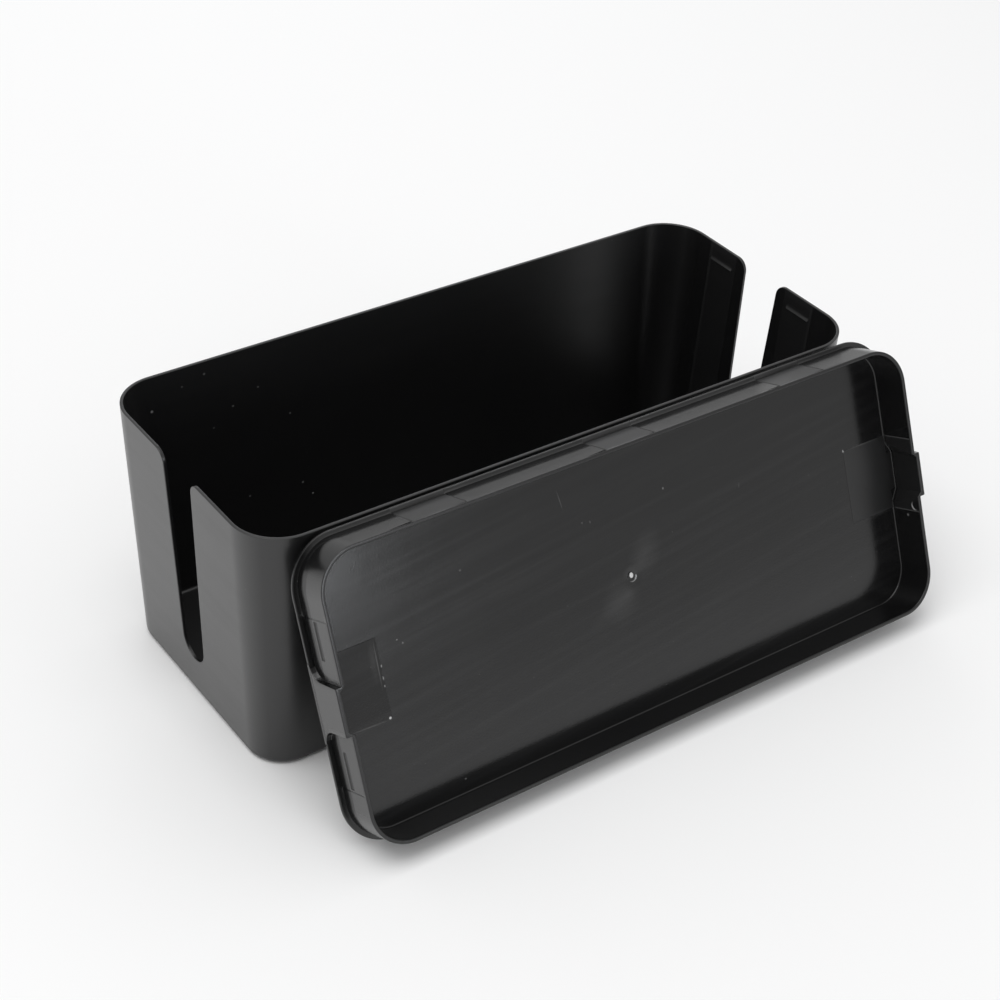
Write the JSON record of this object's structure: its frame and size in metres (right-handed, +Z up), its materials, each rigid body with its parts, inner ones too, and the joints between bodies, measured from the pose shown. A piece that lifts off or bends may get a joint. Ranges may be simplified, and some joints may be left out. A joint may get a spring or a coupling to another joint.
{
  "type": "cable management box",
  "caption": "Open tub with a cable slot in each end and a plug-in lid, shown off the tub and leaning on its front wall, underside out.",
  "frame": {"origin": "centre of the tub's underside, on the surface that it stands on", "axes": "+X along the tub's long side, +Z up through its open mouth, -Y its front, where the lid leans"},
  "size_m": [0.33, 0.2057, 0.1287],
  "materials": {
    "box_plastic": "satin black, injection moulded",
    "lid_plastic": "satin black, injection moulded"
  },
  "bodies": {
    "tub": {"box": "box_plastic"},
    "cover": {"lid": "lid_plastic"}
  },
  "joints": [
    {"name": "lid_lift", "type": "slide", "parent": "tub", "child": "cover", "axis": [0, 0, 1], "range_m": [0, 0.14]}
  ]
}
